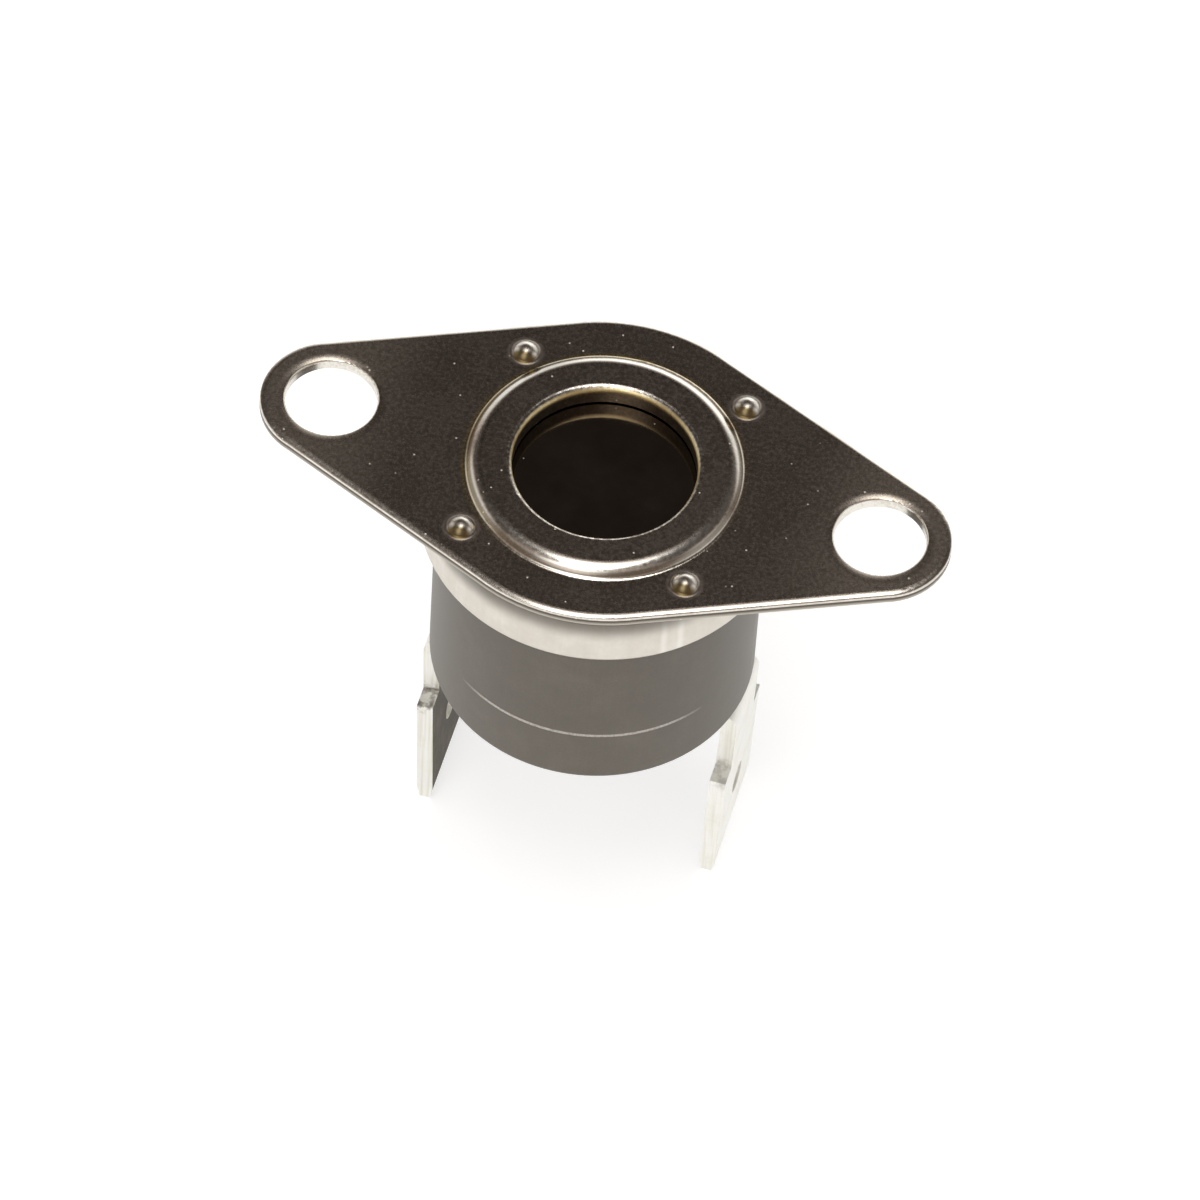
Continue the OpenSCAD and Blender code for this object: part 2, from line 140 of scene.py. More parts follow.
marks = add(tree, "ShaderNodeTexNoise",
            {"Vector": drawn, "Scale": 1 / draw_mark, "Detail": 4, "Roughness": 0.65})
cloud = add(tree, "ShaderNodeTexNoise",
            {"Vector": mm, "Scale": 1 / cloud_size, "Detail": 3, "Roughness": 0.6})
fleck = add(tree, "ShaderNodeTexNoise",
            {"Vector": mm, "Scale": 1 / filler_fleck, "Detail": 2, "Roughness": 0.6})
blend = add(tree, "ShaderNodeMath", {0: marks, 1: 0.2, 2: cloud}, operation="MULTIPLY_ADD")
blend = add(tree, "ShaderNodeMath", {0: fleck, 1: 0.35, 2: blend}, operation="MULTIPLY_ADD")
body = add(tree, "ShaderNodeValToRGB", {"Fac": blend},
           ramp=[(0.5, "#686257"), (0.775, "#726c61"), (1.0, "#7d786d")])
# Painted shade: the corner under the cup's rolled edge is darkened, standing in for the shade that falls
# there
corner = add(tree, "ShaderNodeMapRange",
             {"Value": parts.outputs["Z"], "From Min": cup_edge - cup_shade_span, "From Max": cup_edge,
              "To Min": 0.0, "To Max": cup_shade_strength}, interpolation_type="SMOOTHSTEP")
body = add(tree, "ShaderNodeMix", {"Factor": corner, "A": body, "B": "#454037"}, data_type="RGBA")
# The printed line: a band at one height, broken up a little, that fades out at both ends
away = add(tree, "ShaderNodeMath", {0: parts.outputs["Z"], 1: case_bottom + line_up}, operation="SUBTRACT")
away = add(tree, "ShaderNodeMath", {0: away}, operation="ABSOLUTE")
band = add(tree, "ShaderNodeMapRange",
           {"Value": away, "From Min": line_width / 2, "From Max": line_width / 2 + line_soft,
            "To Min": 1.0, "To Max": 0.0}, interpolation_type="SMOOTHSTEP")
turn = add(tree, "ShaderNodeMath", {0: parts.outputs["Y"], 1: parts.outputs["X"]}, operation="ARCTAN2")
starts = add(tree, "ShaderNodeMapRange",
             {"Value": turn, "From Min": line_from, "From Max": line_from + line_fade})
ends = add(tree, "ShaderNodeMapRange",
           {"Value": turn, "From Min": line_to, "From Max": line_to - line_fade})
band = add(tree, "ShaderNodeMath", {0: band, 1: starts}, operation="MULTIPLY")
band = add(tree, "ShaderNodeMath", {0: band, 1: ends}, operation="MULTIPLY")
thin = add(tree, "ShaderNodeMapRange",
           {"Value": fleck, "From Min": 0.3, "From Max": 0.55, "To Min": 0.5, "To Max": 0.95})
band = add(tree, "ShaderNodeMath", {0: band, 1: thin}, operation="MULTIPLY")
colour = add(tree, "ShaderNodeMix", {"Factor": band, "A": body, "B": "#e3dfd7"}, data_type="RGBA")
satin = add(tree, "ShaderNodeMapRange",
            {"Value": blend, "From Min": 0.5, "From Max": 1.05, "To Min": 0.38, "To Max": 0.48})
relief = add(tree, "ShaderNodeMath", {0: marks, 1: 0.4, 2: fleck}, operation="MULTIPLY_ADD")
bump = add(tree, "ShaderNodeBump", {"Height": relief, "Strength": 0.5, "Distance": moulded_relief * MM})
close(tree, Base_Color=colour, Roughness=satin, Normal=bump)
give(phenolic, "switch_case")


# Terminals
# Two legs blanked from 0.8 mm brass strip and bent down into push-on tabs. They were barrel plated
# with tin, bright outside and on the sheared edges; their faces between the tabs are painted dark as shade.
tab_l = 7.8
shoulder_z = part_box("terminal_left")[0].z / MM + tab_l
# The strip's rolling lines are too fine to show, so they are drawn several times as wide as they are
roll_line = 0.15
roll_line_slim = 0.05
dull_patch = 1.6
plated_relief = 0.006
score_w = 0.16
score_slim = 0.025
scored = 0.3
dark_blotch_size = 0.7
dark_blotch_left = 0.7
dark_blotch_right = 0.25
dark_blotch_full = 0.15
dark_blotch_gone = 0.7
# Barrel tin: it whitens metal to a soft satin, in which the rolling lines of the strip still show
tin, tree, mm = new_finish("barrel_tin_plate")
place = add(tree, "ShaderNodeTexCoord")
faces = add(tree, "ShaderNodeSeparateXYZ", {"Vector": place.outputs["Normal"]})
along = add(tree, "ShaderNodeVectorMath", {0: mm, 1: (1, 1, roll_line_slim)}, operation="MULTIPLY")
lines = add(tree, "ShaderNodeTexNoise",
            {"Vector": along, "Scale": 1 / roll_line, "Detail": 3, "Roughness": 0.6})
patch = add(tree, "ShaderNodeTexNoise",
            {"Vector": mm, "Scale": 1 / dull_patch, "Detail": 4, "Roughness": 0.65})
blend = add(tree, "ShaderNodeMath", {0: lines, 1: 0.5, 2: patch}, operation="MULTIPLY_ADD")
dark_tone = add(tree, "ShaderNodeValToRGB", {"Fac": blend},
           ramp=[(0.5, "#4a443c"), (0.75, "#5f594f"), (0.95, "#787267")])
bright = add(tree, "ShaderNodeValToRGB", {"Fac": blend},
             ramp=[(0.5, "#f2f1e9"), (0.75, "#fafaf5"), (0.95, "#fdfdfa")])
parts = add(tree, "ShaderNodeSeparateXYZ", {"Vector": mm})
# Painted shade: faces that look inward, between the tabs, take the dark tone instead of the bright tin
side = add(tree, "ShaderNodeMath", {0: parts.outputs["X"]}, operation="SIGN")
inward = add(tree, "ShaderNodeMath", {0: faces.outputs["X"], 1: side}, operation="MULTIPLY")
inside = add(tree, "ShaderNodeMapRange", {"Value": inward, "From Min": -0.8, "From Max": -0.95},
             interpolation_type="SMOOTHSTEP")
colour = add(tree, "ShaderNodeMix", {"Factor": inside, "A": bright, "B": dark_tone}, data_type="RGBA")
# The shear scored the edges lengthwise
sheared = add(tree, "ShaderNodeMath", {0: faces.outputs["Y"]}, operation="ABSOLUTE")
sheared = add(tree, "ShaderNodeMapRange",
              {"Value": sheared, "From Min": 0.7, "From Max": 0.9, "To Max": scored})
scores = add(tree, "ShaderNodeVectorMath", {0: mm, 1: (1, 1, score_slim)}, operation="MULTIPLY")
scores = add(tree, "ShaderNodeTexNoise",
             {"Vector": scores, "Scale": 1 / score_w, "Detail": 2, "Roughness": 0.6})
scores = add(tree, "ShaderNodeMapRange",
             {"Value": scores, "From Min": 0.45, "From Max": 0.7, "To Max": sheared})
colour = add(tree, "ShaderNodeMix", {"Factor": scores, "A": colour, "B": "#c9c2a4"}, data_type="RGBA")
# The sheared faces are darker in blotches around the shoulders, most on the left;
# the broad faces are not
away = add(tree, "ShaderNodeMath", {0: parts.outputs["Z"], 1: shoulder_z}, operation="SUBTRACT")
away = add(tree, "ShaderNodeMath", {0: away}, operation="ABSOLUTE")
share = add(tree, "ShaderNodeMapRange",
            {"Value": side, "From Min": -1.0, "From Max": 1.0,
             "To Min": dark_blotch_left, "To Max": dark_blotch_right})
off_broad_faces = add(tree, "ShaderNodeMath", {0: faces.outputs["X"]}, operation="ABSOLUTE")
off_broad_faces = add(tree, "ShaderNodeMapRange",
            {"Value": off_broad_faces, "From Min": 0.7, "From Max": 0.95, "To Min": 1.0, "To Max": 0.0})
share = add(tree, "ShaderNodeMath", {0: share, 1: off_broad_faces}, operation="MULTIPLY")
near = add(tree, "ShaderNodeMapRange",
           {"Value": away, "From Min": dark_blotch_full, "From Max": dark_blotch_gone,
            "To Min": share, "To Max": 0.0})
dark_blotch = add(tree, "ShaderNodeTexNoise",
             {"Vector": mm, "Scale": 1 / dark_blotch_size, "Detail": 3, "Roughness": 0.6})
dark_blotch = add(tree, "ShaderNodeMapRange",
             {"Value": dark_blotch, "From Min": 0.47, "From Max": 0.6, "To Max": near})
colour = add(tree, "ShaderNodeMix", {"Factor": dark_blotch, "A": colour, "B": "#5d5546"}, data_type="RGBA")
satin = add(tree, "ShaderNodeMapRange",
            {"Value": blend, "From Min": 0.5, "From Max": 0.95, "To Min": 0.56, "To Max": 0.68})
bump = add(tree, "ShaderNodeBump", {"Height": blend, "Strength": 0.5, "Distance": plated_relief * MM})
close(tree, Base_Color=colour, Metallic=1.0, Roughness=satin, Normal=bump)
give(tin, "terminal_left", "terminal_right")


# Rivets
# Two solid brass rivets, nickel plated, that clamp the inner parts, the case and the terminals.
# Their domed outer heads were formed cold, and the punch left faint rings.
ring_gap = 0.22
ring_wander = 2.0
handled_patch = 0.8
ring_relief = 0.01
rivet_low, rivet_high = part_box("rivet_right")
rivet_place = (rivet_low.x + rivet_high.x) / 2 / MM
# Nickel on brass: a warm pale grey, smoother than the tin beside it
nickel, tree, mm = new_finish("nickel_plated_brass")
parts = add(tree, "ShaderNodeSeparateXYZ", {"Vector": mm})
side = add(tree, "ShaderNodeMath", {0: parts.outputs["X"]}, operation="ABSOLUTE")
across = add(tree, "ShaderNodeMath", {0: side, 1: rivet_place}, operation="SUBTRACT")
spot = add(tree, "ShaderNodeCombineXYZ", {"X": across, "Y": parts.outputs["Y"]})
reach = add(tree, "ShaderNodeVectorMath", {0: spot}, operation="LENGTH")
wobble = add(tree, "ShaderNodeTexNoise",
             {"Vector": mm, "Scale": 1 / handled_patch, "Detail": 4, "Roughness": 0.65})
rings = add(tree, "ShaderNodeMath", {0: wobble, 1: ring_wander}, operation="MULTIPLY")
rings = add(tree, "ShaderNodeMath", {0: reach.outputs["Value"], 1: 2 * math.pi / ring_gap, 2: rings},
            operation="MULTIPLY_ADD")
rings = add(tree, "ShaderNodeMath", {0: rings}, operation="SINE")
rings = add(tree, "ShaderNodeMath", {0: rings, 1: 0.12, 2: wobble}, operation="MULTIPLY_ADD")
colour = add(tree, "ShaderNodeValToRGB", {"Fac": rings},
             ramp=[(0.3, "#a39d8e"), (0.5, "#bdb8ab"), (0.75, "#d2cec3")])
satin = add(tree, "ShaderNodeMapRange",
            {"Value": wobble, "From Min": 0.3, "From Max": 0.7, "To Min": 0.24, "To Max": 0.4})
bump = add(tree, "ShaderNodeBump", {"Height": rings, "Strength": 0.5, "Distance": ring_relief * MM})
close(tree, Base_Color=colour, Metallic=1.0, Roughness=satin, Normal=bump)
give(nickel, "rivet_left", "rivet_right")


# Contact bracket, clamp and blade
# Three stampings in spring brass. The bracket and the clamp are stiff; the blade is 0.2 mm thick,
# held by the clamp at its root, and bends there when the pin pushes its middle down.
tarnish_size = 1.2
rolled_relief = 0.004
# These rolling lines, too, are drawn wider than they are
grain_line = 0.12
grain_line_slim = 0.05
# Brass as rolled: yellow and fairly bright, with fine lines along the strip and a little tarnish
brass, tree, mm = new_finish("rolled_spring_brass")
along = add(tree, "ShaderNodeVectorMath", {0: mm, 1: (grain_line_slim, 1, 1)}, operation="MULTIPLY")
lines = add(tree, "ShaderNodeTexNoise",
            {"Vector": along, "Scale": 1 / grain_line, "Detail": 3, "Roughness": 0.6})
tarnish = add(tree, "ShaderNodeTexNoise",
              {"Vector": mm, "Scale": 1 / tarnish_size, "Detail": 4, "Roughness": 0.65})
blend = add(tree, "ShaderNodeMath", {0: lines, 1: 0.4, 2: tarnish}, operation="MULTIPLY_ADD")
colour = add(tree, "ShaderNodeValToRGB", {"Fac": blend},
             ramp=[(0.5, "#a8874b"), (0.7, "#caa862"), (0.9, "#dcbd78")])
satin = add(tree, "ShaderNodeMapRange",
            {"Value": blend, "From Min": 0.5, "From Max": 0.9, "To Min": 0.36, "To Max": 0.24})
bump = add(tree, "ShaderNodeBump", {"Height": lines, "Strength": 0.5, "Distance": rolled_relief * MM})
close(tree, Base_Color=colour, Metallic=1.0, Roughness=satin, Normal=bump)
give(brass, "contact_bracket", "arm_clamp")

# The blade is the CAD blade with cuts across it between the clamp and the pin, where the real one bends
clamp_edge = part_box("arm_clamp")[0].x
pin_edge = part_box("transfer_pin")[1].x
straight_share = 0.4
bend_end = pin_edge + (clamp_edge - pin_edge) * straight_share
cut_count = 12
same_place = 1e-7
shape = bmesh.new()
shape.from_mesh(nodes["contact_arm"].data)
for i in range(cut_count + 1):
    x = clamp_edge + (bend_end - clamp_edge) * i / cut_count
    bmesh.ops.bisect_plane(shape, geom=shape.verts[:] + shape.edges[:] + shape.faces[:],
                           plane_co=(x, 0, 0), plane_no=(1, 0, 0))
# The cuts meet the old edges in places and leave faces of no width there, which are closed up
bmesh.ops.remove_doubles(shape, verts=shape.verts[:], dist=same_place)
bmesh.ops.dissolve_degenerate(shape, edges=shape.edges[:], dist=same_place)
mesh = bpy.data.meshes.new("contact_blade")
shape.to_mesh(mesh)
shape.free()
blade = bpy.data.objects.new("contact_blade", mesh)
mesh.materials.clear()
mesh.materials.append(brass)
bpy.context.scene.collection.objects.link(blade)
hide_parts("contact_arm")
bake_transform(blade)


# Contacts
# Two buttons of fine silver alloy, cold headed and staked over. Where they meet, arcing has left a
# grey, slightly pitted spot.
pit_size = 0.15
pit_depth = 0.01
burn_full = 0.4
burn_gone = 0.75
touch_low, touch_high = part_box("fixed_contact")
touch_place = (touch_low.x + touch_high.x) / 2 / MM
touch_z = touch_low.z / MM
# Silver as headed: nearly white and smooth, and matt grey where it is burnt
silver, tree, mm = new_finish("headed_silver_alloy")
parts = add(tree, "ShaderNodeSeparateXYZ", {"Vector": mm})
across = add(tree, "ShaderNodeMath", {0: parts.outputs["X"], 1: touch_place}, operation="SUBTRACT")
up = add(tree, "ShaderNodeMath", {0: parts.outputs["Z"], 1: touch_z}, operation="SUBTRACT")
spot = add(tree, "ShaderNodeCombineXYZ", {"X": across, "Y": parts.outputs["Y"], "Z": up})
reach = add(tree, "ShaderNodeVectorMath", {0: spot}, operation="LENGTH")
pits = add(tree, "ShaderNodeTexNoise", {"Vector": mm, "Scale": 1 / pit_size, "Detail": 3, "Roughness": 0.7})
rough_edge = add(tree, "ShaderNodeMath", {0: pits, 1: 0.4, 2: reach.outputs["Value"]},
                 operation="MULTIPLY_ADD")
burnt = add(tree, "ShaderNodeMapRange",
            {"Value": rough_edge, "From Min": burn_full, "From Max": burn_gone,
             "To Min": 1.0, "To Max": 0.0})
clean = add(tree, "ShaderNodeValToRGB", {"Fac": pits}, ramp=[(0.3, "#c9c7c0"), (0.7, "#e4e3de")])
colour = add(tree, "ShaderNodeMix", {"Factor": burnt, "A": clean, "B": "#6d6a66"}, data_type="RGBA")
satin = add(tree, "ShaderNodeMapRange", {"Value": burnt, "To Min": 0.26, "To Max": 0.55})
bump = add(tree, "ShaderNodeBump", {"Height": pits, "Strength": 0.5, "Distance": pit_depth * MM})
close(tree, Base_Color=colour, Metallic=1.0, Roughness=satin, Normal=bump)
give(silver, "fixed_contact", "moving_contact")


# Pin guide
# A round plate with a short hub, moulded in brown phenolic, that drops into the case. The disc
# rests on its rim and the pin slides in its bore.
swirl_size = 2.5
fibre_w = 0.12
fibre_relief = 0.008
# Brown phenolic as moulded: a satin brown with the swirl it flowed in and fine wood fibre
brown, tree, mm = new_finish("moulded_brown_phenolic")
swirl = add(tree, "ShaderNodeTexNoise",
            {"Vector": mm, "Scale": 1 / swirl_size, "Detail": 4, "Roughness": 0.6, "Distortion": 0.6})
fibre = add(tree, "ShaderNodeTexNoise", {"Vector": mm, "Scale": 1 / fibre_w, "Detail": 3, "Roughness": 0.6})
blend = add(tree, "ShaderNodeMath", {0: fibre, 1: 0.5, 2: swirl}, operation="MULTIPLY_ADD")
colour = add(tree, "ShaderNodeValToRGB", {"Fac": blend},
             ramp=[(0.5, "#5c4839"), (0.75, "#6d5745"), (1.0, "#806a56")])
satin = add(tree, "ShaderNodeMapRange",
            {"Value": blend, "From Min": 0.5, "From Max": 1.0, "To Min": 0.38, "To Max": 0.55})
bump = add(tree, "ShaderNodeBump", {"Height": fibre, "Strength": 0.5, "Distance": fibre_relief * MM})
close(tree, Base_Color=colour, Roughness=satin, Normal=bump)
give(brown, "pin_guide")


# Transfer pin
# A steatite rod with chamfered ends, ground to length and round, that carries the disc's snap to
# the blade through the guide's bore.
pore_size = 0.2
ground_relief = 0.004
# The wheel's marks are too fine to show and are drawn a tenth of a millimetre wide
grind_mark = 0.1
grind_mark_slim = 0.1
# Steatite as ground: an off-white, dry-looking ceramic with marks round it and a few pores
steatite, tree, mm = new_finish("ground_steatite")
round_marks = add(tree, "ShaderNodeVectorMath", {0: mm, 1: (grind_mark_slim, grind_mark_slim, 1)},
                  operation="MULTIPLY")
ground = add(tree, "ShaderNodeTexNoise",
             {"Vector": round_marks, "Scale": 1 / grind_mark, "Detail": 3, "Roughness": 0.6})
pores = add(tree, "ShaderNodeTexNoise",
            {"Vector": mm, "Scale": 1 / pore_size, "Detail": 3, "Roughness": 0.7})
blend = add(tree, "ShaderNodeMath", {0: ground, 1: 0.5, 2: pores}, operation="MULTIPLY_ADD")
colour = add(tree, "ShaderNodeValToRGB", {"Fac": blend},
             ramp=[(0.5, "#d9d1c0"), (0.75, "#e9e4d8"), (0.95, "#f1ede4")])
satin = add(tree, "ShaderNodeMapRange",
            {"Value": blend, "From Min": 0.5, "From Max": 0.95, "To Min": 0.45, "To Max": 0.6})
bump = add(tree, "ShaderNodeBump", {"Height": ground, "Strength": 0.5, "Distance": ground_relief * MM})
close(tree, Base_Color=colour, Roughness=satin, Normal=bump)
give(steatite, "transfer_pin")


# Snap disc
# A half-inch disc of bimetal sheet, pressed into a shallow dish that domes towards the opening while
# it is cold. Hot, its middle snaps down on to the pin while its edge stays on the guide's rim.
disc_low, disc_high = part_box("snap_disc")
disc_r = (disc_high.x - disc_low.x) / 2
disc_t = 0.2 * MM
edge_z = disc_low.z + disc_t / 2
crown_z = disc_high.z - disc_t / 2
ring_count = 28
step_count = 96
shape = bmesh.new()
crown = shape.verts.new((0, 0, crown_z))
rings = []
for i in range(1, ring_count + 1):
    r = disc_r * i / ring_count
    z = crown_z + (edge_z - crown_z) * (i / ring_count) ** 2
    steps = [2 * math.pi * k / step_count for k in range(step_count)]
    rings.append([shape.verts.new((r * math.cos(a), r * math.sin(a), z)) for a in steps])
for k in range(step_count):
    shape.faces.new((crown, rings[0][k], rings[0][(k + 1) % step_count]))
    for inner, outer in zip(rings, rings[1:]):
        shape.faces.new((inner[k], outer[k], outer[(k + 1) % step_count], inner[(k + 1) % step_count]))
for face in shape.faces:
    face.smooth = True
mesh = bpy.data.meshes.new("bimetal_disc")
shape.to_mesh(mesh)
shape.free()
disc = bpy.data.objects.new("bimetal_disc", mesh)
bpy.context.scene.collection.objects.link(disc)
sheet = disc.modifiers.new("sheet", "SOLIDIFY")
sheet.thickness = disc_t
sheet.offset = 0

# Bimetal strip, rolled between polished rolls: a dark brown mirror with fine lines along the strip
# and a few grains of dust and rubbed spots a tenth of a millimetre across.
haze_size = 2.2
dust_gap = 1.5
dust_size = 0.055
polished_relief = 0.0006
# The lines are too fine to show and are drawn a tenth of a millimetre wide
rolled_line = 0.1
rolled_line_slim = 0.04
bimetal, tree, mm = new_finish("rolled_bimetal")
along = add(tree, "ShaderNodeVectorMath", {0: mm, 1: (rolled_line_slim, 1, 1)}, operation="MULTIPLY")
lines = add(tree, "ShaderNodeTexNoise",
            {"Vector": along, "Scale": 1 / rolled_line, "Detail": 2, "Roughness": 0.5})
haze = add(tree, "ShaderNodeTexNoise",
           {"Vector": mm, "Scale": 1 / haze_size, "Detail": 3, "Roughness": 0.6})
tone = add(tree, "ShaderNodeValToRGB", {"Fac": haze}, ramp=[(0.35, "#68615b"), (0.65, "#746c65")])
dust = add(tree, "ShaderNodeTexVoronoi", {"Vector": mm, "Scale": 1 / dust_gap})
dust = add(tree, "ShaderNodeMath", {0: dust, 1: dust_gap}, operation="MULTIPLY")
dust = add(tree, "ShaderNodeMapRange",
           {"Value": dust, "From Min": dust_size * 0.6, "From Max": dust_size,
            "To Min": 1.0, "To Max": 0.0})
colour = add(tree, "ShaderNodeMix", {"Factor": dust, "A": tone, "B": "#cfc8bd"}, data_type="RGBA")
gloss = add(tree, "ShaderNodeMapRange",
            {"Value": haze, "From Min": 0.3, "From Max": 0.7, "To Min": 0.08, "To Max": 0.13})
gloss = add(tree, "ShaderNodeMath", {0: dust, 1: 0.5, 2: gloss}, operation="MULTIPLY_ADD")
bump = add(tree, "ShaderNodeBump", {"Height": lines, "Strength": 0.5, "Distance": polished_relief * MM})
close(tree, Base_Color=colour, Metallic=1.0, Roughness=gloss, Normal=bump)
mesh.materials.append(bimetal)
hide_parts("snap_disc")
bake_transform(disc)


# Crimp cup
# A ring drawn in soft aluminium sheet. Its brim lies under the flange, its skirt was rolled in under
# the case's collar, and four bosses on the brim stand up into the flange's pips.
draw_line = 0.45
draw_line_slim = 0.08
scuff_size = 1.3
drawn_relief = 0.005
stripe_turn = math.radians(-52)
stripe_apart = math.radians(5.5)
stripe_w = math.radians(1.8)
stripe_white = 0.45
flange_shade_low = -2.15
flange_shade_high = -0.85
flange_shade = 0.8
# Aluminium as drawn: pale and soft-looking, with broad faint lines down the wall
aluminium, tree, mm = new_finish("drawn_aluminium")
parts = add(tree, "ShaderNodeSeparateXYZ", {"Vector": mm})
upright = add(tree, "ShaderNodeVectorMath", {0: mm, 1: (1, 1, draw_line_slim)}, operation="MULTIPLY")
lines = add(tree, "ShaderNodeTexNoise",
            {"Vector": upright, "Scale": 1 / draw_line, "Detail": 5, "Roughness": 0.65})
scuff = add(tree, "ShaderNodeTexNoise",
            {"Vector": mm, "Scale": 1 / scuff_size, "Detail": 4, "Roughness": 0.7})
blend = add(tree, "ShaderNodeMath", {0: lines, 1: 0.5, 2: scuff}, operation="MULTIPLY_ADD")
colour = add(tree, "ShaderNodeValToRGB", {"Fac": blend},
             ramp=[(0.5, "#d3cdc2"), (0.75, "#d8d2c8"), (1.0, "#dfdad1")])
# Two upright whiter stripes side by side at one turn of the wall
turn = add(tree, "ShaderNodeMath", {0: parts.outputs["Y"], 1: parts.outputs["X"]}, operation="ARCTAN2")
apart = add(tree, "ShaderNodeMath", {0: turn, 1: stripe_turn}, operation="SUBTRACT")
apart = add(tree, "ShaderNodeMath", {0: apart}, operation="ABSOLUTE")
apart = add(tree, "ShaderNodeMath", {0: apart, 1: stripe_apart / 2}, operation="SUBTRACT")
apart = add(tree, "ShaderNodeMath", {0: apart}, operation="ABSOLUTE")
stripe = add(tree, "ShaderNodeMapRange",
          {"Value": apart, "From Min": 0.0, "From Max": stripe_w, "To Min": stripe_white, "To Max": 0.0},
          interpolation_type="SMOOTHSTEP")
colour = add(tree, "ShaderNodeMix", {"Factor": stripe, "A": colour, "B": "#f6f4ee"}, data_type="RGBA")
# Painted shade: the wall close under the flange is darkened, standing in for the flange's shade on it
under = add(tree, "ShaderNodeMapRange",
            {"Value": parts.outputs["Z"], "From Min": flange_shade_low, "From Max": flange_shade_high,
             "To Min": 0.0, "To Max": flange_shade}, interpolation_type="SMOOTHSTEP")
colour = add(tree, "ShaderNodeMix", {"Factor": under, "A": colour, "B": "#5f5a52"}, data_type="RGBA")
satin = add(tree, "ShaderNodeMapRange",
            {"Value": blend, "From Min": 0.5, "From Max": 1.0, "To Min": 0.41, "To Max": 0.33})
bump = add(tree, "ShaderNodeBump", {"Height": lines, "Strength": 0.5, "Distance": drawn_relief * MM})
close(tree, Base_Color=colour, Metallic=1.0, Roughness=satin, Normal=bump)
give(aluminium, "crimp_cup")


# Mounting flange
# One stamping in steel sheet with a raised ring round the opening and four hollow pips that clinch it
# to the cup. It was nickel plated dull and tumbled, which rubbed its edges, bends and pips bright; that
# brightness is partly painted highlight.
sheet_t = 0.55
# Its ring, opening and lip, pips and screw holes
foot_r = 6.72
foot_bend = 0.25
crown_r = 0.95
face_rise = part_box("mounting_flange")[1].z / MM
crown_x = foot_r - math.sqrt((crown_r + foot_bend) ** 2 - (crown_r + foot_bend - face_rise) ** 2)
opening_r = 4.4
lip_r = 0.3
lip_roll = 0.5
pip_ring_r = 7.735
pip_place = pip_ring_r * math.sqrt(0.5)
pip_r = 0.8
screws = next(mount for mount in frame["record"]["mounts"] if mount["name"] == "flange_screws")
hole_place = screws["dims"]["spacing_x_mm"] / 2
hole_r = screws["dims"]["hole_r_mm"]
sag_w = 0.5
sag = 0.075
# The plate's crystals are too fine to show, so its grain is drawn as coarse as it looks on the real
# one; its stains and dints have their true sizes
grain_size = 0.2
fine_size = 0.08
plated_grain = 0.012
stain_size = 3.5
speck_gap = 0.85
speck_size = 0.06
# Where each kind of wear and painted light starts, is full or is gone: distances from the axis, from a
# pip's middle, or from the circle at the ring's foot where the painted warm glint lies
ear_start = 8.5
ear_full = 14.0
steep_start = foot_r - 0.42
steep_full = foot_r - 0.3
coined_start = foot_r - 0.22
coined_full = foot_r - 0.14
kept_dark = 0.85
hollow_start = pip_r - 0.3
hollow_full = pip_r - 0.12
hollow_end = pip_r + 0.05
lip_end = opening_r + lip_r + 0.02
foot_circle_r = foot_r - 0.12
glint_full = 0.1
glint_gone = 0.3
mouth_full = opening_r + 0.03
mouth_gone = opening_r + 0.12
pip_edge_gone = pip_r + 0.15
drawn_full = 0.5
drawn_gone = 0.8
wall_full = opening_r + 0.05
wall_gone = opening_r + 0.1
ring_end = foot_r + 0.1
# Heights: the opening's painted highlight and painted shade, and the tear in the outer edge
brown_z = -0.05
yellow_z = 0.25
tear_start_z = -sheet_t * 0.35
tear_full_z = -sheet_t * 0.45
tear_and_shade_z = -sheet_t * 0.5
# Nickel plated dull: a dark, brownish grey satin with a fine crystal grain, its darkness partly painted
# shade; it turns to a warm silver where it is rubbed, partly as painted highlight
plate, tree, mm = new_finish("tumbled_dull_nickel")
parts = add(tree, "ShaderNodeSeparateXYZ", {"Vector": mm})
place = add(tree, "ShaderNodeTexCoord")
facing = add(tree, "ShaderNodeSeparateXYZ", {"Vector": place.outputs["Normal"]})
grain = add(tree, "ShaderNodeTexNoise",
            {"Vector": mm, "Scale": 1 / grain_size, "Detail": 4, "Roughness": 0.7})
fine = add(tree, "ShaderNodeTexNoise",
           {"Vector": mm, "Scale": 1 / fine_size, "Detail": 2, "Roughness": 0.6})
stain = add(tree, "ShaderNodeTexNoise",
            {"Vector": mm, "Scale": 1 / stain_size, "Detail": 3, "Roughness": 0.6})
blend = add(tree, "ShaderNodeMath", {0: grain, 1: 0.9, 2: stain}, operation="MULTIPLY_ADD")
dark_tone = add(tree, "ShaderNodeValToRGB", {"Fac": blend},
           ramp=[(0.65, "#746a61"), (0.95, "#7a7067"), (1.0, "#81776e")])
bright = add(tree, "ShaderNodeValToRGB", {"Fac": blend},
             ramp=[(0.65, "#cdc7bc"), (0.95, "#dcd7cd"), (1.0, "#e8e4dc")])
# The ears are a little lighter
ends = add(tree, "ShaderNodeMath", {0: parts.outputs["X"]}, operation="ABSOLUTE")
ends = add(tree, "ShaderNodeMapRange", {"Value": ends, "From Min": ear_start, "From Max": ear_full},
           interpolation_type="SMOOTHSTEP")
dark_tone = add(tree, "ShaderNodeMix", {"Factor": ends, "A": dark_tone, "B": "#a3998d"}, data_type="RGBA")
# Wherever the surface turns away from flat it is brighter: partly rubbed by the tumbling, partly painted
# highlight standing in for reflections on bends and walls
level = add(tree, "ShaderNodeMath", {0: facing.outputs["Z"]}, operation="ABSOLUTE")
wear_and_highlight = add(tree, "ShaderNodeMapRange", {"Value": level, "From Min": 0.997, "From Max": 0.93},
             interpolation_type="SMOOTHSTEP")
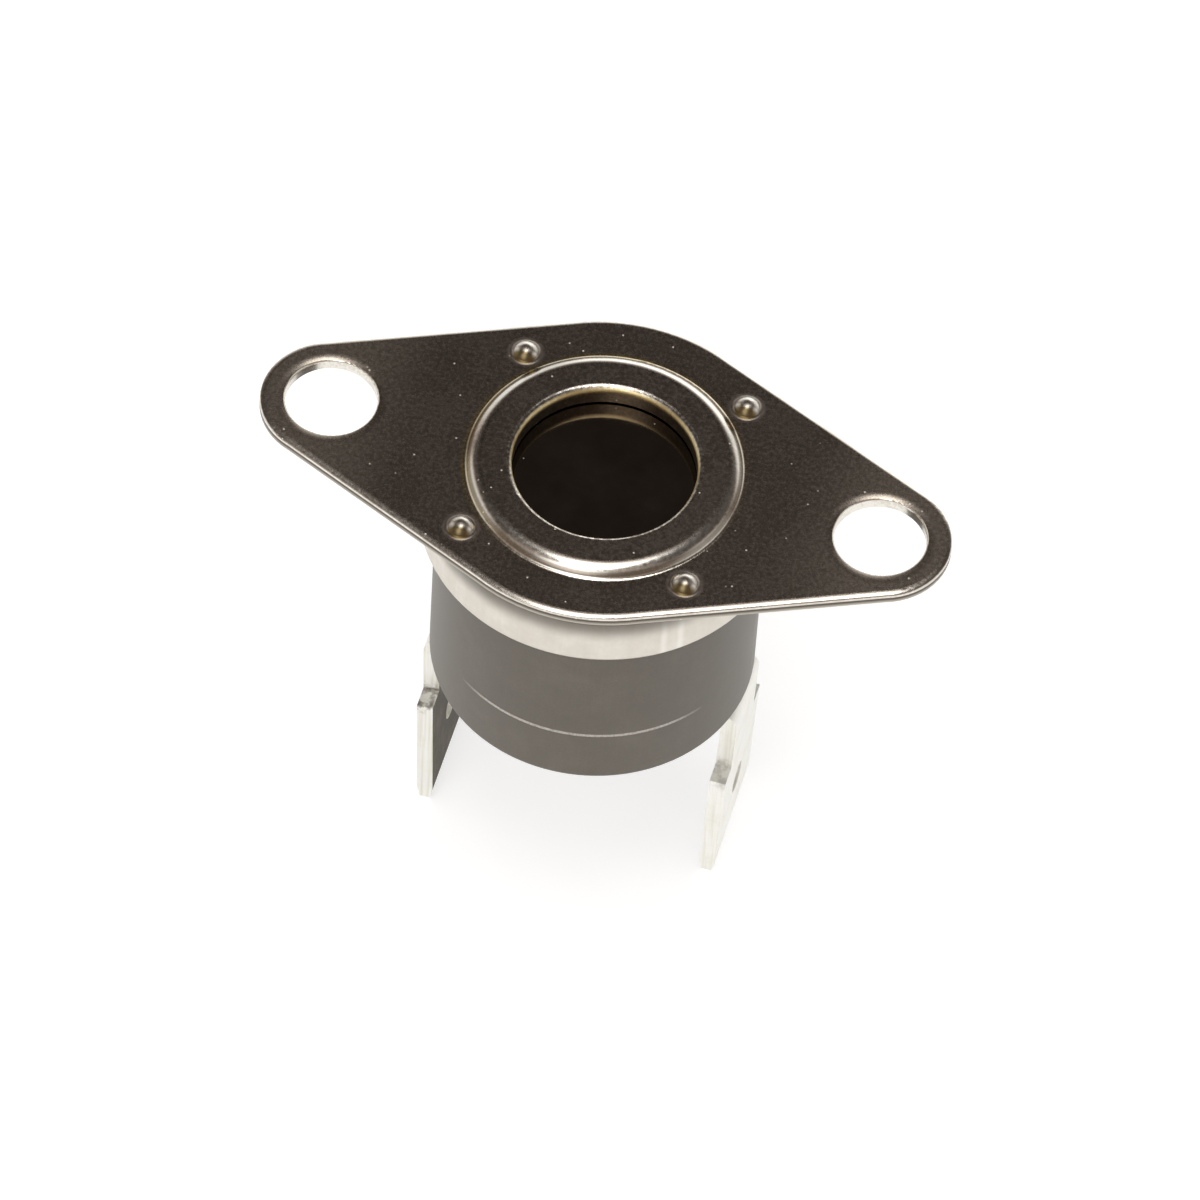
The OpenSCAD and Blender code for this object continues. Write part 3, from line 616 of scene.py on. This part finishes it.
# The ring's steep outside and the hollow round each pip are kept dark, as nothing rubs them there; the dark
# is partly painted shade
flat = add(tree, "ShaderNodeVectorMath", {0: mm, 1: (1, 1, 0)}, operation="MULTIPLY")
reach = add(tree, "ShaderNodeVectorMath", {0: flat}, operation="LENGTH")
steep = add(tree, "ShaderNodeMapRange",
            {"Value": reach.outputs["Value"], "From Min": steep_start, "From Max": steep_full,
             "To Min": 0.0, "To Max": kept_dark}, interpolation_type="SMOOTHSTEP")
coined = add(tree, "ShaderNodeMapRange",
             {"Value": reach.outputs["Value"], "From Min": coined_start, "From Max": coined_full,
              "To Min": 1.0, "To Max": 0.0}, interpolation_type="SMOOTHSTEP")
steep = add(tree, "ShaderNodeMath", {0: steep, 1: coined}, operation="MULTIPLY")
folded = add(tree, "ShaderNodeVectorMath", {0: flat}, operation="ABSOLUTE")
pip_reach = add(tree, "ShaderNodeVectorMath", {0: folded, 1: (pip_place, pip_place, 0)},
                operation="DISTANCE")
hollow = add(tree, "ShaderNodeMapRange",
             {"Value": pip_reach.outputs["Value"], "From Min": hollow_start, "From Max": hollow_full,
              "To Min": 0.0, "To Max": kept_dark}, interpolation_type="SMOOTHSTEP")
by_pip = add(tree, "ShaderNodeMath", {0: pip_reach.outputs["Value"], 1: hollow_end}, operation="LESS_THAN")
hollow = add(tree, "ShaderNodeMath", {0: hollow, 1: by_pip}, operation="MULTIPLY")
missed = add(tree, "ShaderNodeMath", {0: steep, 1: hollow}, operation="MAXIMUM")
missed = add(tree, "ShaderNodeMath", {0: 1.0, 1: missed}, operation="SUBTRACT")
wear_and_highlight = add(tree, "ShaderNodeMath", {0: wear_and_highlight, 1: missed}, operation="MULTIPLY")
# The opening's lip is brightened only in spots, wear and painted highlight alike
spots = add(tree, "ShaderNodeMapRange",
            {"Value": grain, "From Min": 0.45, "From Max": 0.62, "To Min": 0.2, "To Max": 1.0})
at_lip = add(tree, "ShaderNodeMath", {0: reach.outputs["Value"], 1: lip_end}, operation="LESS_THAN")
spots = add(tree, "ShaderNodeMapRange", {"Value": at_lip, "To Min": 1.0, "To Max": spots})
wear_and_highlight = add(tree, "ShaderNodeMath", {0: wear_and_highlight, 1: spots}, operation="MULTIPLY")
colour = add(tree, "ShaderNodeMix", {"Factor": wear_and_highlight, "A": dark_tone, "B": bright}, data_type="RGBA")
# Painted reflection: a yellowish tint in the foot bend, standing in for a warm reflection there, fainter
# towards the front right
from_foot = add(tree, "ShaderNodeMath", {0: reach.outputs["Value"], 1: foot_circle_r}, operation="SUBTRACT")
from_foot = add(tree, "ShaderNodeMath", {0: from_foot}, operation="ABSOLUTE")
in_bend = add(tree, "ShaderNodeMapRange",
              {"Value": from_foot, "From Min": glint_full, "From Max": glint_gone,
               "To Min": 0.7, "To Max": 0.0})
glint_side = add(tree, "ShaderNodeVectorMath", {0: mm, 1: (-0.6, 0.8, 0)}, operation="DOT_PRODUCT")
glint_side = add(tree, "ShaderNodeMapRange",
             {"Value": glint_side.outputs["Value"], "From Min": -4.5, "From Max": 2.0,
              "To Min": 0.15, "To Max": 1.0}, interpolation_type="SMOOTHSTEP")
in_bend = add(tree, "ShaderNodeMath", {0: in_bend, 1: glint_side}, operation="MULTIPLY")
patchy = add(tree, "ShaderNodeMapRange",
             {"Value": stain, "From Min": 0.35, "From Max": 0.6, "To Min": 0.35, "To Max": 0.85})
warm_glint = add(tree, "ShaderNodeMath", {0: in_bend, 1: patchy}, operation="MULTIPLY")
colour = add(tree, "ShaderNodeMix", {"Factor": warm_glint, "A": colour, "B": "#a8924e"}, data_type="RGBA")
# Painted highlight and shade in the opening: yellow at the top of the lip's roll for the lamp's warm
# reflection, brown further down for the shade there
in_mouth = add(tree, "ShaderNodeMapRange",
               {"Value": reach.outputs["Value"], "From Min": mouth_full, "From Max": mouth_gone,
                "To Min": 1.0, "To Max": 0.0})
depth = add(tree, "ShaderNodeMapRange",
            {"Value": parts.outputs["Z"], "From Min": brown_z, "From Max": yellow_z},
            interpolation_type="SMOOTHSTEP")
mouth_light_and_shade = add(tree, "ShaderNodeMix", {"Factor": depth, "A": "#6e5f49", "B": "#d8c48a"}, data_type="RGBA")
mouth_painted_share = add(tree, "ShaderNodeMath", {0: in_mouth, 1: 0.85}, operation="MULTIPLY")
colour = add(tree, "ShaderNodeMix", {"Factor": mouth_painted_share, "A": colour, "B": mouth_light_and_shade}, data_type="RGBA")
# Painted shade: brown on the side of each pip that faces forward, standing in for the dark reflection there
on_pip = add(tree, "ShaderNodeMapRange",
             {"Value": pip_reach.outputs["Value"], "From Min": pip_r, "From Max": pip_edge_gone,
              "To Min": 1.0, "To Max": 0.0})
forward = add(tree, "ShaderNodeMapRange",
              {"Value": facing.outputs["Y"], "From Min": -0.12, "From Max": -0.5,
               "To Min": 0.0, "To Max": 0.95}, interpolation_type="SMOOTHSTEP")
pip_painted_shade = add(tree, "ShaderNodeMath", {0: on_pip, 1: forward}, operation="MULTIPLY")
colour = add(tree, "ShaderNodeMix", {"Factor": pip_painted_shade, "A": colour, "B": "#6a5a38"}, data_type="RGBA")
# The lower half of the sheared outer edge is torn and rough; it is dark where the tear starts, partly as
# painted shade for the shadow line under the edge
torn_z = add(tree, "ShaderNodeMapRange",
             {"Value": parts.outputs["Z"], "From Min": tear_full_z, "From Max": tear_start_z,
              "To Min": 1.0, "To Max": 0.0})
upright = add(tree, "ShaderNodeMapRange", {"Value": level, "From Min": 0.7, "From Max": 0.5})
torn = add(tree, "ShaderNodeMath", {0: torn_z, 1: upright}, operation="MULTIPLY")
from_hole = add(tree, "ShaderNodeVectorMath", {0: folded, 1: (hole_place, 0, 0)}, operation="DISTANCE")
outer = add(tree, "ShaderNodeMath", {0: from_hole.outputs["Value"], 1: hole_r + 0.1},
            operation="GREATER_THAN")
torn = add(tree, "ShaderNodeMath", {0: torn, 1: outer}, operation="MULTIPLY")
drawn = add(tree, "ShaderNodeMath", {0: 1.0, 1: in_mouth}, operation="SUBTRACT")
torn = add(tree, "ShaderNodeMath", {0: torn, 1: drawn}, operation="MULTIPLY")
tear_and_shade = add(tree, "ShaderNodeMapRange",
           {"Value": parts.outputs["Z"], "From Min": tear_and_shade_z, "From Max": -sheet_t},
           interpolation_type="SMOOTHSTEP")
tear_and_shade = add(tree, "ShaderNodeMix", {"Factor": tear_and_shade, "A": "#5f574e", "B": "#c4beb3"}, data_type="RGBA")
colour = add(tree, "ShaderNodeMix", {"Factor": torn, "A": colour, "B": tear_and_shade}, data_type="RGBA")
# Tiny dints that the barrel's other pieces knocked into it
specks = add(tree, "ShaderNodeTexVoronoi", {"Vector": mm, "Scale": 1 / speck_gap})
specks = add(tree, "ShaderNodeMath", {0: specks, 1: speck_gap}, operation="MULTIPLY")
specks = add(tree, "ShaderNodeMapRange",
             {"Value": specks, "From Min": speck_size * 0.5, "From Max": speck_size,
              "To Min": 1.0, "To Max": 0.0})
colour = add(tree, "ShaderNodeMix", {"Factor": specks, "A": colour, "B": "#e9e3d8"}, data_type="RGBA")
# Rubbing smooths the satin; tears and dints roughen it, and so do the opening and the pips
satin = add(tree, "ShaderNodeMapRange",
            {"Value": grain, "From Min": 0.3, "From Max": 0.7, "To Min": 0.22, "To Max": 0.31})
worn = add(tree, "ShaderNodeMath", {0: wear_and_highlight, 1: -0.06, 2: satin}, operation="MULTIPLY_ADD")
worn = add(tree, "ShaderNodeMath", {0: torn, 1: 0.3, 2: worn}, operation="MULTIPLY_ADD")
worn = add(tree, "ShaderNodeMath", {0: specks, 1: 0.3, 2: worn}, operation="MULTIPLY_ADD")
worn = add(tree, "ShaderNodeMath", {0: in_mouth, 1: 0.15, 2: worn}, operation="MULTIPLY_ADD")
worn = add(tree, "ShaderNodeMath", {0: on_pip, 1: 0.1, 2: worn}, operation="MULTIPLY_ADD")
# The grain stands up on the flat faces, and is pressed smooth where the sheet was drawn or rubbed
relief = add(tree, "ShaderNodeMath", {0: fine, 1: 0.35, 2: grain}, operation="MULTIPLY_ADD")
relief = add(tree, "ShaderNodeMath", {0: specks, 1: -0.6, 2: relief}, operation="MULTIPLY_ADD")
worked = add(tree, "ShaderNodeMapRange",
             {"Value": from_foot, "From Min": drawn_full, "From Max": drawn_gone,
              "To Min": 1.0, "To Max": 0.0})
worked = add(tree, "ShaderNodeMath", {0: worked, 1: wear_and_highlight}, operation="MAXIMUM")
smooth = add(tree, "ShaderNodeMapRange", {"Value": worked, "To Min": 0.32, "To Max": 0.06})
# The ring was drawn over a round punch, so its slope follows from the distance to the axis alone,
# and that of the lip's roll from the height
drop = add(tree, "ShaderNodeMapRange",
           {"Value": reach.outputs["Value"], "From Min": crown_x, "From Max": crown_x + crown_r})
level_out = add(tree, "ShaderNodeMapRange",
                {"Value": reach.outputs["Value"], "From Min": foot_r, "From Max": foot_r - foot_bend})
slope = add(tree, "ShaderNodeMath", {0: drop, 1: level_out}, operation="MINIMUM")
level_in = add(tree, "ShaderNodeMapRange",
               {"Value": parts.outputs["Z"], "From Min": face_rise - lip_roll, "From Max": face_rise})
dip = add(tree, "ShaderNodeMath", {0: level_in, 1: level_in}, operation="MULTIPLY")
dip = add(tree, "ShaderNodeMath", {0: 1.0, 1: dip}, operation="SUBTRACT")
dip = add(tree, "ShaderNodeMath", {0: dip}, operation="SQRT")
dip = add(tree, "ShaderNodeMath", {0: dip, 1: at_lip}, operation="MULTIPLY")
slope = add(tree, "ShaderNodeMath", {0: slope, 1: dip}, operation="SUBTRACT")
outward = add(tree, "ShaderNodeVectorMath", {0: flat}, operation="NORMALIZE")
outward = add(tree, "ShaderNodeVectorMath", {0: outward, "Scale": slope}, operation="SCALE")
upward = add(tree, "ShaderNodeMath", {0: slope, 1: slope}, operation="MULTIPLY")
upward = add(tree, "ShaderNodeMath", {0: 1.0, 1: upward}, operation="SUBTRACT")
upward = add(tree, "ShaderNodeMath", {0: upward}, operation="SQRT")
upward = add(tree, "ShaderNodeCombineXYZ", {"Z": upward})
ring_faces = add(tree, "ShaderNodeVectorMath", {0: outward, 1: upward}, operation="ADD")
# Only faces of the ring that look up are shaded so, and at the opening's wall the upright ones too
past = add(tree, "ShaderNodeMath", {0: reach.outputs["Value"], 1: ring_end}, operation="LESS_THAN")
least = add(tree, "ShaderNodeMapRange",
            {"Value": reach.outputs["Value"], "From Min": wall_full, "From Max": wall_gone,
             "To Min": -0.1, "To Max": 0.05})
on_ring = add(tree, "ShaderNodeMath", {0: facing.outputs["Z"], 1: least}, operation="GREATER_THAN")
on_ring = add(tree, "ShaderNodeMath", {0: on_ring, 1: past}, operation="MULTIPLY")
# A Mix node takes vectors in its inputs 4 and 5 and gives them at its output 1
faces = add(tree, "ShaderNodeMix", {4: place.outputs["Normal"], 5: ring_faces, 0: on_ring},
            data_type="VECTOR")
faces = add(tree, "ShaderNodeVectorTransform", {"Vector": faces.outputs[1]}, vector_type="NORMAL",
            convert_from="OBJECT", convert_to="WORLD")
bump = add(tree, "ShaderNodeBump",
           {"Height": relief, "Normal": faces, "Strength": smooth, "Distance": plated_grain * MM})
# The punch drew the metal round each screw hole down by a little
sag_in = add(tree, "ShaderNodeMapRange",
             {"Value": from_hole.outputs["Value"], "From Min": hole_r, "From Max": hole_r + sag_w,
              "To Min": 1.0, "To Max": 0.0})
sagged = add(tree, "ShaderNodeMath", {0: sag_in, 1: sag_in}, operation="MULTIPLY")
sagged = add(tree, "ShaderNodeMath", {0: sagged, 1: -sag}, operation="MULTIPLY")
bump = add(tree, "ShaderNodeBump", {"Height": sagged, "Normal": bump, "Strength": 1.0, "Distance": MM})
close(tree, Base_Color=colour, Metallic=1.0, Roughness=worn, Normal=bump)
give(plate, "mounting_flange")


# Floor and light
# A pale sweep that the part stands on by the tips of its tabs, under one long soft lamp overhead.
# Pale cards stand low behind, high in front and low at both sides; the rest of the room is dim.
floor_size = 4.0
floor_glow = 0.7
paper_fibre = 1.5
bpy.ops.mesh.primitive_plane_add(size=floor_size, location=(0, 0, cad_box[0].z))
floor = bpy.context.object
floor.name = "floor"
# Matt white paper: even and without gloss. A glow that only the camera and mirrors see brings it up
# to white, and the part's shadow stays on it
paper, tree, mm = new_finish("white_paper_sweep")
fibre = add(tree, "ShaderNodeTexNoise",
            {"Vector": mm, "Scale": 1 / paper_fibre, "Detail": 3, "Roughness": 0.6})
shade = add(tree, "ShaderNodeValToRGB", {"Fac": fibre}, ramp=[(0.3, "#bababa"), (0.7, "#bdbdbc")])
matt = add(tree, "ShaderNodeBsdfPrincipled", {"Base Color": shade, "Roughness": 0.9})
ray = add(tree, "ShaderNodeLightPath")
seen = add(tree, "ShaderNodeMath", {0: ray.outputs["Is Camera Ray"], 1: ray.outputs["Is Glossy Ray"]},
           operation="MAXIMUM")
seen = add(tree, "ShaderNodeMath", {0: seen, 1: ray.outputs["Is Transmission Ray"]}, operation="MAXIMUM")
seen = add(tree, "ShaderNodeMath", {0: seen, 1: floor_glow}, operation="MULTIPLY")
glow = add(tree, "ShaderNodeEmission", {"Strength": seen})
both = add(tree, "ShaderNodeAddShader", {0: matt, 1: glow})
add(tree, "ShaderNodeOutputMaterial", {"Surface": both})
floor.data.materials.append(paper)

# The room is white low behind the part, grey in front, darker at the sides and nearly dark overhead
room_dim = 0.07
room_side = 0.25
room_front = 0.38
world = bpy.data.worlds.new("studio")
bpy.context.scene.world = world
world.use_nodes = True
tree = world.node_tree
tree.nodes.clear()
way = add(tree, "ShaderNodeTexCoord")
parts = add(tree, "ShaderNodeSeparateXYZ", {"Vector": way.outputs["Generated"]})
sky = add(tree, "ShaderNodeValToRGB", {"Fac": parts.outputs["Z"]},
          ramp=[(0.0, 1.0), (0.34, 1.0), (0.5, room_dim), (1.0, room_dim)])
behind = add(tree, "ShaderNodeMapRange",
             {"Value": parts.outputs["Y"], "From Min": 0.45, "From Max": 0.85,
              "To Min": room_side, "To Max": 1.0}, interpolation_type="SMOOTHSTEP")
sky = add(tree, "ShaderNodeMath", {0: sky, 1: behind}, operation="MULTIPLY")
front = add(tree, "ShaderNodeMapRange",
            {"Value": parts.outputs["Y"], "From Min": -0.45, "From Max": -0.1,
             "To Min": room_front, "To Max": room_dim}, interpolation_type="SMOOTHSTEP")
sky = add(tree, "ShaderNodeMath", {0: sky, 1: front}, operation="MAXIMUM")
# Four pale cards: one low behind, one high in front and one low on each side. Each has its azimuth,
# its elevation, how far from its middle it is full and how far it is gone, and its brightness
cards = [(90, 8, 12, 30, 1.8), (-98, 45, 8, 24, 2.8), (0, 12, 18, 34, 0.9), (180, 12, 18, 34, 0.9)]
for azimuth, elevation, full, gone, brightness in cards:
    azimuth, elevation, full, gone = [math.radians(angle) for angle in (azimuth, elevation, full, gone)]
    aim = (math.cos(azimuth) * math.cos(elevation), math.sin(azimuth) * math.cos(elevation),
           math.sin(elevation))
    near = add(tree, "ShaderNodeVectorMath", {0: way.outputs["Generated"], 1: aim}, operation="DOT_PRODUCT")
    card = add(tree, "ShaderNodeMapRange",
               {"Value": near.outputs["Value"], "From Min": math.cos(gone), "From Max": math.cos(full),
                "To Max": brightness}, interpolation_type="SMOOTHSTEP")
    sky = add(tree, "ShaderNodeMath", {0: sky, 1: card}, operation="MAXIMUM")
# What stays dim is bare brown wall and ceiling
hue = add(tree, "ShaderNodeValToRGB", {"Fac": sky}, ramp=[(0.4, "#ffeadc"), (0.9, "#ffffff")])
back = add(tree, "ShaderNodeBackground", {"Color": hue, "Strength": sky})
add(tree, "ShaderNodeOutputWorld", {"Surface": back})

# The lamp reaches from 22 degrees past the zenith, behind, to 26 degrees in front of it, and
# 12 degrees to each side
lamp_up = 1.0
lamp_front = -lamp_up * math.tan(math.radians(26))
lamp_back = lamp_up * math.tan(math.radians(22))
lamp_brightness = 4.8
lamp = bpy.data.lights.new("overhead_softbox", "AREA")
lamp.shape = "ELLIPSE"
lamp.size = 2 * lamp_up * math.tan(math.radians(12))
lamp.size_y = lamp_back - lamp_front
lamp.energy = lamp_brightness * math.pi * lamp.size * lamp.size_y * math.pi / 4
softbox = bpy.data.objects.new("overhead_softbox", lamp)
softbox.location = (0, (lamp_front + lamp_back) / 2, lamp_up)
bpy.context.scene.collection.objects.link(softbox)


# Camera
# A long lens, nearly half a metre away, that looks down on the flange from the front right. Its
# place and turn were fitted to the part's outline, with the origin at the flange's upper face.
eye = bpy.data.cameras.new("camera")
eye.sensor_width = 36
eye.lens = 270
eye.clip_start = 0.01
eye.clip_end = 10
camera = bpy.data.objects.new("camera", eye)
right = Vector((0.960497, 0.275105, 0.041991))
up = Vector((-0.245741, 0.767625, 0.591915))
behind = Vector((0.130605, -0.578852, 0.804906))
stand = Matrix.Translation(Vector((56.841, -250.909, 338.391)) * MM)
camera.matrix_world = stand @ Matrix((right, up, behind)).transposed().to_4x4()
bpy.context.scene.collection.objects.link(camera)
bpy.context.scene.camera = camera
bpy.context.scene.view_settings.view_transform = "Standard"
